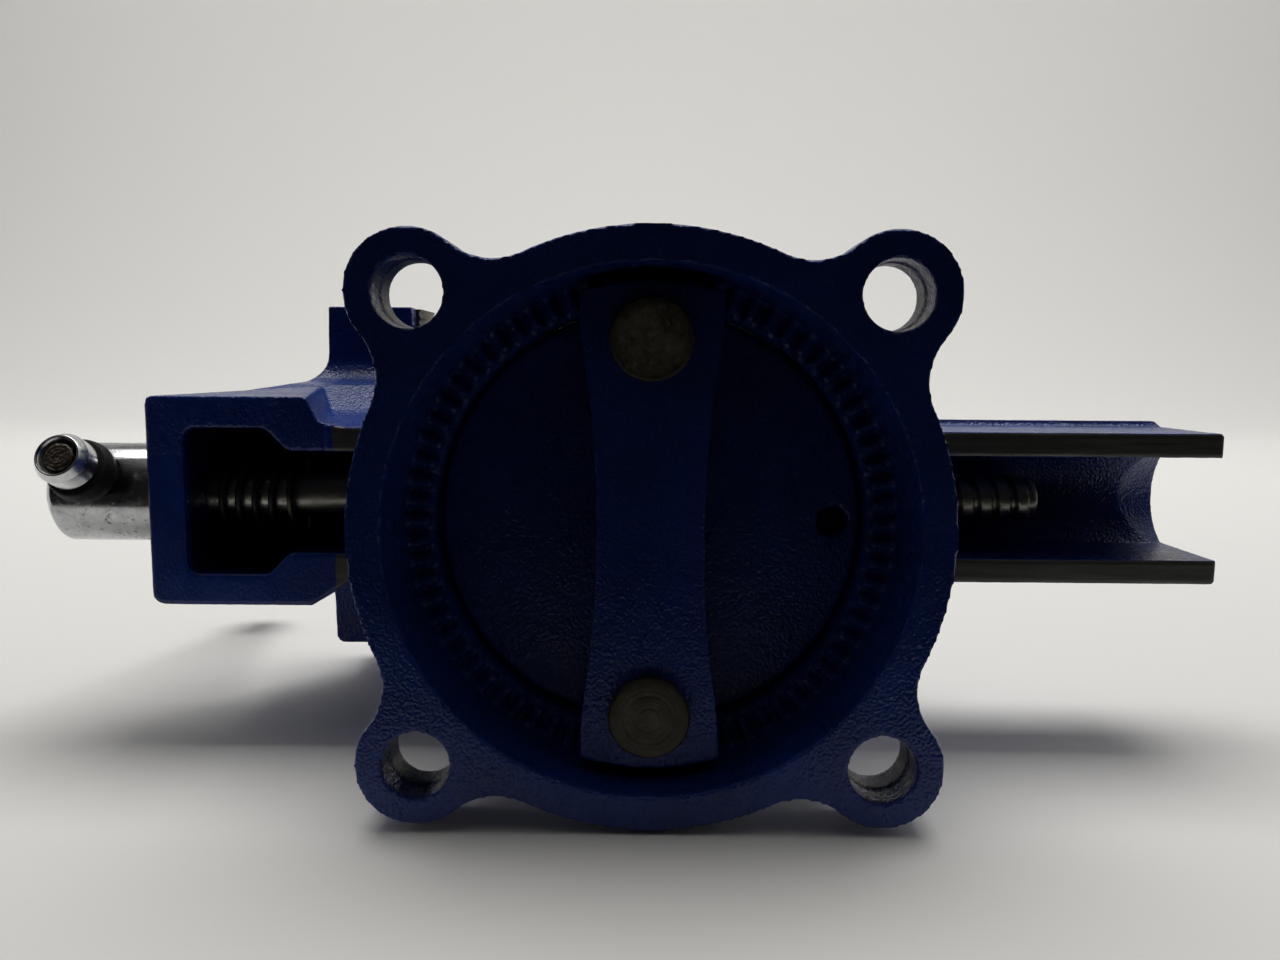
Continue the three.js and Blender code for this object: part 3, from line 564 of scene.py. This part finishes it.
base_mesh = casting("swivel_base", 0.62 * MM, base_bare, base_machined, rounds=2, wear=base_wear)
as_piece("base_casting", base_mesh, BLUE, ["swivel_base"])
body_mesh = casting("vise_body", 0.80 * MM, body_bare, body_machined)
as_piece("body_casting", body_mesh, BLUE, ["vise_body"])
as_piece("slide_casting", slide_mesh(), BLUE, ["moving_jaw"])
clamp_mesh = casting("clamp_bar", 0.45 * MM, nowhere, nowhere, rounds=4)
as_piece("clamp_casting", clamp_mesh, BLUE, ["clamp_bar"])
nut_mesh = casting("spindle_nut", 0.55 * MM, nowhere, nowhere)
as_piece("nut_casting", nut_mesh, IRON, ["spindle_nut"])


# ---------------------------------------------------------------- screw
HANDLE_CENTRE = Vector((0, centre("handle_bar").y, SCREW_Z))
PIN_RADIUS = 1.6 * MM


def spindle_mesh(segments=80):
    """The screw: a flat-ended head with a cross hole, a plain shank and a trapezoid thread."""
    low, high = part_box("spindle")
    front, length = low.y, high.y - low.y
    head = (high.x - low.x) / 2
    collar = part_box("moving_jaw")[0].y - 0.3 * MM - front
    thread_start = AXIS.y - 80 * MM - front
    rings = filleted([(0, 0), (10.2 * MM, 0.1 * MM, 3 * MM), (head, 2.8 * MM, 1.5 * MM), (head, 8 * MM)])
    rings += filleted([(head, 8 * MM), (head, collar, 0.7 * MM), (SHANK, collar, 0.3 * MM),
                       (SHANK, thread_start - 1.2 * MM)])[1:]
    rings += thread_rings(SHANK, 1.3 * MM, 5 * MM, thread_start, length - 0.9 * MM, segments, crest=0.55,
                          root=0.2)
    rings += [(SHANK - 1.4 * MM, length - 0.3 * MM), (SHANK - 1.7 * MM, length), (0, length)]
    mesh = skin(rings, Vector((0, front, SCREW_Z)), -FORWARD, segments)
    pin_centre = Vector((0, centre("spindle_pin").y, SCREW_Z))
    pin_hole = bar_tool(pin_centre, ACROSS, PIN_RADIUS + 0.05 * MM, 20 * MM)
    mesh = bored(mesh, countersunk_tool(HANDLE_CENTRE, HANDLE_DIRECTION), pin_hole)
    points = vertex_arrays(mesh)[0]
    set_attribute(mesh, "tint_and_shade", np.clip((points[:, 1] - front - collar) / (0.4 * MM), 0, 1))
    return mesh


def bar_tool(middle, direction, radius, half, segments=48):
    """A round bar to bore with."""
    rings = [(0, -half), (radius, -half), (radius, half), (0, half)]
    return skin(rings, middle, direction, segments)


def countersunk_tool(middle, direction):
    """Bores the hole for the handle, with a wide shallow countersink at each mouth."""
    half = [(5.1, 12.2), (5.6, 12.3), (12, 14.4), (0, 20)]  # (radius, along) in mm
    rings = [(radius * MM, -along * MM) for radius, along in reversed(half)]
    rings += [(radius * MM, along * MM) for radius, along in half]
    return skin(rings, middle, direction, 64)


as_piece("screw_turned", smoothed(spindle_mesh()), HEAD, ["spindle"])


def spring_mesh(wire=0.9 * MM, turns=4.5, per_turn=48, sides=16):
    """The coil spring round the shank, from a wire of that radius."""
    low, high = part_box("spindle_spring")
    radius = (high.x - low.x) / 2 - wire
    start, end = low.y + wire, high.y - wire
    steps = round(turns * per_turn)
    points = []
    for i in range(steps + 1):
        angle = 2 * math.pi * turns * i / steps
        outward = Vector((math.cos(angle), 0, math.sin(angle)))
        middle = outward * radius + Vector((0, start + (end - start) * i / steps, SCREW_Z))
        taper = wire * min(1, 0.55 + 0.45 * min(i, steps - i) / 4)
        for s in range(sides):
            around = 2 * math.pi * s / sides
            points.append(middle + taper * (math.cos(around) * outward - math.sin(around) * FORWARD))
    faces = []
    for i in range(steps):
        for s in range(sides):
            a, b = i * sides + s, i * sides + (s + 1) % sides
            faces.append((a, b, b + sides, a + sides))
    faces.append(tuple(range(sides)))
    faces.append(tuple(steps * sides + s for s in reversed(range(sides))))
    mesh = bpy.data.meshes.new("spring")
    mesh.from_pydata([tuple(p) for p in points], [], faces)
    return faced_outwards(mesh)


as_piece("spring_coil", smoothed(spring_mesh()), SPRING, ["spindle_spring"])


def washer_piece(name, node, material, axis, inner):
    """A flat washer with eased rims and that inner radius, in its CAD node's box."""
    low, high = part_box(node)
    along = [abs(component) for component in axis].index(1)
    thick = high[along] - low[along]
    outer = (high.x - low.x) / 2
    ease = 0.3 * MM
    section = filleted([(inner, thick / 2), (inner, 0, ease), (outer, 0, ease), (outer, thick, ease),
                        (inner, thick, ease), (inner, thick / 2)])[:-1]
    origin = centre(node) - Vector(axis) * thick / 2
    as_piece(name, smoothed(skin(section, origin, Vector(axis), 72, closed=True)), material, [node])


washer_piece("collar_washer", "spindle_washer", BLACK, (0, 1, 0), SHANK + 0.35 * MM)
for side in ("left", "right"):
    washer_piece("washer_" + side, "lock_washer_" + side, ZINC, (0, 0, 1), 5.3 * MM)


def pin_mesh():
    """The rolled spring pin through the screw."""
    low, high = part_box("spindle_pin")
    length = high.x - low.x
    section = filleted([(0, 0), (PIN_RADIUS, 0, 0.4 * MM), (PIN_RADIUS, length, 0.4 * MM), (0, length)])
    return skin(section, centre("spindle_pin") - ACROSS * length / 2, ACROSS, 40)


as_piece("cross_pin", smoothed(pin_mesh()), BLACK, ["spindle_pin"])


# ---------------------------------------------------------------- handle
KNOB = 8.6 * MM  # length of a knob
RING = 6.4 * MM  # length of a rubber ring
GAP = 0.3 * MM  # between a knob and its ring
LOW_END = -29 * MM  # the knobs' outer faces, from the screw's axis
HIGH_END = 121 * MM


def along_handle(section, start, sense):
    """A turned mesh about the handle, drawn from a distance along it. Sense -1 draws it the other way."""
    origin = HANDLE_CENTRE + HANDLE_DIRECTION * start
    return skin(section, origin, HANDLE_DIRECTION * sense, 72, closed=section[0][0] > 0)


def knob_section():
    """The knob's half section from its outer face inwards, closed on its bore."""
    bore, outer = 4.05 * MM, 6.7 * MM
    return filleted([(bore, 4 * MM), (bore, 1.8 * MM, 0.2 * MM), (5.0 * MM, 0.45 * MM, 0.2 * MM),
                     (5.05 * MM, 0, 0.1 * MM), (5.45 * MM, 0, 0.3 * MM), (outer, 2.3 * MM, 0.8 * MM),
                     (outer, 7.2 * MM, 0.8 * MM), (5.6 * MM, KNOB, 0.4 * MM), (bore, KNOB, 0.2 * MM),
                     (bore, 4 * MM)])[:-1]


def ring_section():
    """A rubber ring's half section, bulging in its middle."""
    bore, shoulder, bulge = 5.05 * MM, 7.8 * MM, 8.4 * MM
    middle = RING / 2
    return filleted([(bore, middle), (bore, 0, 0.4 * MM), (shoulder, 0, 0.9 * MM), (bulge, middle, 2.4 * MM),
                     (shoulder, RING, 0.9 * MM), (bore, RING, 0.4 * MM), (bore, middle)])[:-1]


def handle_bar_mesh():
    """The bar, with its ends turned down and riveted over in the knobs."""
    shoulder_low, shoulder_high = LOW_END + KNOB + GAP, HIGH_END - KNOB - GAP
    rivet = [(0, 0.45), *((0.3 * k, 0.45 + 0.05 * (k % 3)) for k in range(1, 12)), (3.6, 0.8)]
    low = [(r * MM, LOW_END + h * MM) for r, h in rivet]
    high = [(r * MM, HIGH_END - h * MM) for r, h in reversed(rivet)]
    spigot, bar = 3.75 * MM, 4.75 * MM
    barrel = filleted([(spigot, LOW_END + 2 * MM), (spigot, shoulder_low, 0.2 * MM),
                       (bar, shoulder_low, 0.3 * MM), (bar, shoulder_high, 0.3 * MM),
                       (spigot, shoulder_high, 0.2 * MM), (spigot, HIGH_END - 2 * MM)])
    return along_handle(low + barrel + high, 0, 1)


def peened(mesh):
    """Hammer marks on the riveted ends of the bar, which are also browner than its sides."""
    points, normals, _ = vertex_arrays(mesh)
    along = (points - np.array(HANDLE_CENTRE)) @ np.array(HANDLE_DIRECTION)
    end = ((along < LOW_END + 1.5 * MM) | (along > HIGH_END - 1.5 * MM)).astype(np.float32)
    moved = points + normals * (lumps(points, 0.5 * MM) * end * 0.12 * MM)[:, None]
    mesh.vertices.foreach_set("co", moved.astype(np.float32).ravel())
    set_attribute(mesh, "tint_and_shade", end)
    return smoothed(mesh)


as_piece("handle_rod", peened(handle_bar_mesh()), RIVETED, ["handle_bar"])
for end, start, sense in (("lower", LOW_END, 1), ("upper", HIGH_END, -1)):
    as_piece("knob_" + end, smoothed(along_handle(knob_section(), start, sense)), ZINC,
             ["handle_knob_" + end])
    ring_start = start + sense * (KNOB + GAP)
    as_piece("ring_" + end, smoothed(along_handle(ring_section(), ring_start, sense)), RUBBER,
             ["handle_ring_" + end])


# ---------------------------------------------------------------- clamp bolts, nuts and levers
LEVER_TURN = {"left": math.radians(105), "right": math.radians(-75)}  # of the levers at rest


def lever_direction(side):
    return Vector((math.cos(LEVER_TURN[side]), math.sin(LEVER_TURN[side]), 0))


def faced_steps(radius):
    """Depth of the steps that facing left in a bolt's head, in mm, at a radius in mm."""
    outer_edges = ((2.3, 0), (2.9, 0.07), (5.1, 0.02), (5.7, 0.08))
    return next((depth for edge, depth in outer_edges if radius < edge), 0.03)


def lock_bolt_mesh(node):
    """A bolt with a faced round head and a metric thread at its top."""
    low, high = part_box(node)
    head, shank = (high.x - low.x) / 2, 5 * MM
    length = high.z - low.z
    marks = np.random.default_rng(3).uniform(0, 0.07, 38)  # of the facing tool, one every 0.2 mm
    rings = [(0.2 * k * MM, (mark + faced_steps(0.2 * k)) * MM) for k, mark in enumerate(marks)]
    rings += filleted([(7.9 * MM, 0), (8.5 * MM, 0.05 * MM, 0.3 * MM), (head, 0.9 * MM, 0.4 * MM),
                       (head, 3 * MM, 0.3 * MM), (shank, 3 * MM, 0.2 * MM), (shank, 6 * MM)])[1:]
    rings += thread_rings(shank, 0.85 * MM, 1.5 * MM, length - 24 * MM, length - 0.9 * MM, 64, 10)
    rings += [(shank - 1.3 * MM, length), (0, length)]
    origin = Vector((centre(node).x, AXIS.y, low.z))
    mesh = skin(rings, origin, UP, 64)
    points = vertex_arrays(mesh)[0]
    from_axis = np.hypot(points[:, 0] - origin.x, points[:, 1] - origin.y)
    lower_bolt_shade = 0.75 if origin.x < 0 else 0.0  # painted shade: the one that lies lower, by the bright floor, is darkened
    # both heads are also darker towards their rims
    set_attribute(mesh, "tint_and_shade", lower_bolt_shade + (0.9 - lower_bolt_shade) * np.clip(from_axis / head, 0, 1) ** 4)
    return mesh


def lock_nut_mesh(side):
    """A tall hexagon nut, chamfered, bored for its bolt and drilled for its lever."""
    low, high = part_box("lock_nut_" + side)
    height = high.z - low.z
    flats = 10.5 * MM * math.cos(math.pi / 6)  # 10.5 mm to its corners
    segments = 96
    shape = hexagon(flats, segments)
    chamfer = [(flats + h * MM * 0.9 - 0.5 * MM, h * MM) for h in (0, 0.5, 1.0, 1.5, 2.0)]
    lower = [(np.minimum(shape, r), h) for r, h in chamfer]
    upper = [(np.minimum(shape, r), height - h) for r, h in reversed(chamfer)]
    bore = 5.3 * MM
    inside = [(bore + 0.6 * MM, height), (bore, height - 0.7 * MM), (bore, 0.7 * MM), (bore + 0.6 * MM, 0)]
    turn = LEVER_TURN[side] + math.pi / 6
    origin = Vector((centre("lock_bolt_" + side).x, AXIS.y, low.z))
    nut = skin(lower + upper + inside, origin, UP, segments, closed=True, turn=turn)
    at = origin + UP * height / 2 + lever_direction(side) * 14 * MM
    return bored(nut, bar_tool(at, lever_direction(side), 3.9 * MM, 8 * MM))


def lever_mesh(side):
    """The nut's lever: a rod with a ball end."""
    low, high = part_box("lock_nut_" + side)
    origin = Vector((centre("lock_bolt_" + side).x, AXIS.y, (low.z + high.z) / 2))
    ball, middle, rod = 5.8 * MM, 40.2 * MM, 3.6 * MM
    neck = math.asin(rod / ball)
    arc = [(ball * math.sin(a), middle - ball * math.cos(a)) for a in np.linspace(neck, math.pi, 26)]
    rings = filleted([(0, 6.4 * MM), (rod, 6.4 * MM, 0.5 * MM), (rod, 20 * MM), (rod, 30 * MM)])
    return skin(rings + arc[:-1] + [(0, middle + ball)], origin, lever_direction(side), 56)


for side in ("left", "right"):
    as_piece("bolt_" + side, smoothed(lock_bolt_mesh("lock_bolt_" + side)), BOLT,
             ["lock_bolt_" + side])
    as_piece("nut_" + side, smoothed(lock_nut_mesh(side), 25), ZINC, ["lock_nut_" + side])
    as_piece("lever_" + side, smoothed(lever_mesh(side)), ZINC, ["lock_lever_" + side])


def nut_bolt_mesh():
    """The hexagon bolt that holds the screw's nut down."""
    low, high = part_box("spindle_nut_bolt")
    flats = 5.7 * MM
    shape = hexagon(flats, 72)
    head, length = 6.3 * MM, high.z - low.z
    rings = [(0, 0.15 * MM), (3.6 * MM, 0.15 * MM), (4.0 * MM, 0.0)]
    rings += [(np.minimum(shape, flats - 0.3 * MM + h * MM), h * MM) for h in (0.0, 0.4, 0.8, 1.2)]
    rings += [(shape, head), (4 * MM, head), (4 * MM, length - 0.6 * MM), (3.4 * MM, length), (0, length)]
    return skin(rings, Vector((0, AXIS.y, low.z)), UP, 72)


as_piece("nut_bolt_hexagon", smoothed(nut_bolt_mesh(), 25), BLACK, ["spindle_nut_bolt"])


# ---------------------------------------------------------------- jaw inserts and their screws
def insert_screw_mesh(node, direction):
    """A cap screw with a hexagon socket."""
    low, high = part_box(node)
    length = high.y - low.y
    start = low.y if direction.y > 0 else high.y
    socket = hexagon(2.6 * MM, 72)
    head, shank = 5.7 * MM, 3.1 * MM
    rings = [(0, 3.0 * MM), (socket * 0.96, 3.2 * MM), (socket, 0.35 * MM), (3.4 * MM, 0.02 * MM)]
    rings += filleted([(4.6 * MM, 0), (head, 0, 0.5 * MM), (head, 3.5 * MM, 0.2 * MM), (shank, 3.5 * MM),
                       (shank, 5 * MM)])
    rings += thread_rings(shank, 0.5 * MM, 1.0 * MM, 5 * MM, length - 0.5 * MM, 72, 8)
    rings += [(2.4 * MM, length), (0, length)]
    origin = Vector((centre(node).x, start, centre(node).z))
    return skin(rings, origin, direction, 72)


for jaw, direction in (("fixed", -FORWARD), ("moving", FORWARD)):
    for side in ("left", "right"):
        node = jaw + "_insert_screw_" + side
        as_piece(jaw + "_cap_screw_" + side, smoothed(insert_screw_mesh(node, direction), 30), BLACK,
                 [node])


def insert_mesh(node):
    """A hardened insert: the CAD plate with its edges eased."""
    mesh = merged_copy(node)
    work = bmesh.new()
    work.from_mesh(mesh)
    bmesh.ops.dissolve_limit(work, angle_limit=math.radians(1), verts=work.verts, edges=work.edges)
    work.to_mesh(mesh)
    work.free()
    bevel = {"width": 0.25 * MM, "segments": 2, "limit_method": "ANGLE", "angle_limit": math.radians(50)}
    return with_modifiers(mesh, ("BEVEL", bevel))


for jaw in ("fixed", "moving"):
    as_piece(jaw + "_insert_ground", smoothed(insert_mesh(jaw + "_jaw_insert"), 30), INSERT,
             [jaw + "_jaw_insert"])


# ---------------------------------------------------------------- stage, light and camera
PALE = (0.79, 0.785, 0.77)
WARM_WHITE = (1, 0.99, 0.965)


def stage_material(name):
    """A pale matt surface that is seen from its front only."""
    material, tree, bsdf = shader(name, Specular_IOR_Level=0.2, Roughness=0.8)
    tone = blend_colours(tree, noise(tree, 3, 3), PALE, tuple(0.985 * c for c in PALE))
    connect(tree, bsdf, Base_Color=tone)
    behind = add(tree, "NewGeometry").outputs["Backfacing"]
    clear = add(tree, "BsdfTransparent").outputs[0]
    mix = add(tree, "MixShader", {0: behind, 1: bsdf.outputs[0], 2: clear})
    tree.links.new(mix.outputs[0], tree.nodes["Material Output"].inputs["Surface"])
    return material


def sheet(name, profile, material, half=6):
    """A sheet from a profile in (x, z), stretched along Y to both sides."""
    rows = [[(x, -half, z), (x, half, z)] for x, z in profile]
    points = [p for row in rows for p in row]
    faces = [(2 * i, 2 * i + 1, 2 * i + 3, 2 * i + 2) for i in range(len(rows) - 1)]
    mesh = bpy.data.meshes.new(name)
    mesh.from_pydata(points, [], faces)
    mesh.materials.append(material)
    mesh.polygons.foreach_set("use_smooth", np.ones(len(faces), bool))
    made = bpy.data.objects.new(name, mesh)
    bpy.context.scene.collection.objects.link(made)
    return made


floor_x = BASE_LOW.x - 1.0 * MM  # the vise lies on its left side, with two lugs over this floor
floor_start = -0.052  # in z, between the camera and the base
bend = 1.1  # radius of the sweep from floor to wall
wall_z = 2.6
curve = [(floor_x + bend * (1 - math.cos(a)), wall_z - bend + bend * math.sin(a))
         for a in np.linspace(0, math.pi / 2, 24)]
sheet("sweep", [(floor_x, floor_start), *curve, (5, wall_z)], stage_material("sweep_paper"))
# Seen by the camera only, and from above only: the bench in views from the side.
ground = sheet("ground", [(6, -0.5 * MM), (-6, -0.5 * MM)], stage_material("ground_paper"))
for hidden in ("visible_diffuse", "visible_glossy", "visible_transmission", "visible_shadow"):
    setattr(ground, hidden, False)


def area_light(name, at, towards, size, power):
    data = bpy.data.lights.new(name, "AREA")
    data.shape = "RECTANGLE"
    data.size, data.size_y = size
    data.energy = power
    data.color = WARM_WHITE
    lamp = bpy.data.objects.new(name, data)
    lamp.location = at
    lamp.rotation_mode = "QUATERNION"
    lamp.rotation_quaternion = (Vector(towards) - Vector(at)).to_track_quat("-Z", "Y")
    bpy.context.scene.collection.objects.link(lamp)


area_light("ceiling", (1.5, 0, 0.36), (0, 0, 0.02), (1.6, 0.8), 17)
area_light("wall_wash", (1.6, 0, 0.9), (0.5, 0, 2.6), (5.0, 0.8), 40)


def world_light():
    """A soft room: bright over and behind the vise, dark in front of its underside."""
    world = bpy.data.worlds.new("room")
    bpy.context.scene.world = world
    world.use_nodes = True
    tree = world.node_tree
    direction = add(tree, "TexCoord").outputs["Generated"]
    brightest = (0.25, 0, 0.97)  # the direction that the light mostly comes from
    towards = add(tree, "VectorMath", {0: direction, 1: brightest}, operation="DOT_PRODUCT").outputs["Value"]
    strength = spread(tree, towards, -0.35, 0.75, 0.010, 0.80)
    background = tree.nodes["Background"]
    background.inputs["Color"].default_value = (*WARM_WHITE, 1)
    tree.links.new(strength, background.inputs["Strength"])


world_light()

# The camera looks along the swivel axis from under the base, a little over the floor, with +X up.
camera_data = bpy.data.cameras.new("camera")
camera_data.sensor_width = 36
camera_data.lens = 28.125
camera_data.clip_start = 0.01
camera = bpy.data.objects.new("camera", camera_data)
camera_at = Vector((34.99 * MM, AXIS.y - 0.83 * MM, -205.17 * MM))
forward = Vector((-0.11175, -0.00711, 0.99371)).normalized()
up = Vector((0.99371, -0.00805, 0.11169))
right = forward.cross(up).normalized()
up = right.cross(forward)
camera.matrix_world = Matrix.Translation(camera_at) @ Matrix((right, up, -forward)).transposed().to_4x4()
bpy.context.scene.collection.objects.link(camera)
bpy.context.scene.camera = camera
bpy.context.scene.view_settings.view_transform = "Standard"
